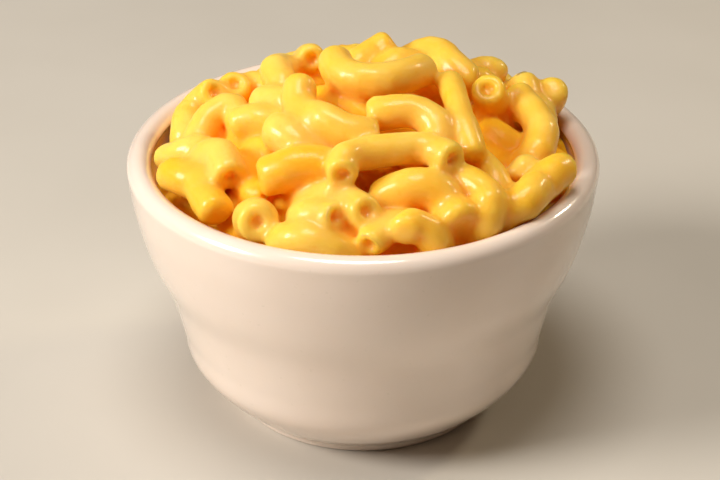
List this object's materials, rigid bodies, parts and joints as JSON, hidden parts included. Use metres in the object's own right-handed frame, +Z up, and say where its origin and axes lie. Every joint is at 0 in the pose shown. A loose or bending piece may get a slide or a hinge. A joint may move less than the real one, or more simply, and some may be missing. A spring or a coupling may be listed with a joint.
{
  "type": "macaroni and cheese in a bowl",
  "caption": "Elbow macaroni in cheese sauce, heaped over the rim of a white china bouillon bowl with a waisted side and a foot ring.",
  "frame": {"origin": "centre of the bowl's foot, on the surface that the bowl stands on", "axes": "+Z up along the bowl's axis; -Y towards the side shown in front; +X to its right"},
  "size_m": [0.1, 0.1, 0.0801],
  "materials": {
    "glazed_china": "warm white glazed china, glossy",
    "cheese_macaroni": "golden yellow pasta in a smooth glossy cheese sauce"
  },
  "bodies": {
    "root": {"bowl": "glazed_china", "macaroni_heap": "cheese_macaroni"}
  },
  "joints": []
}
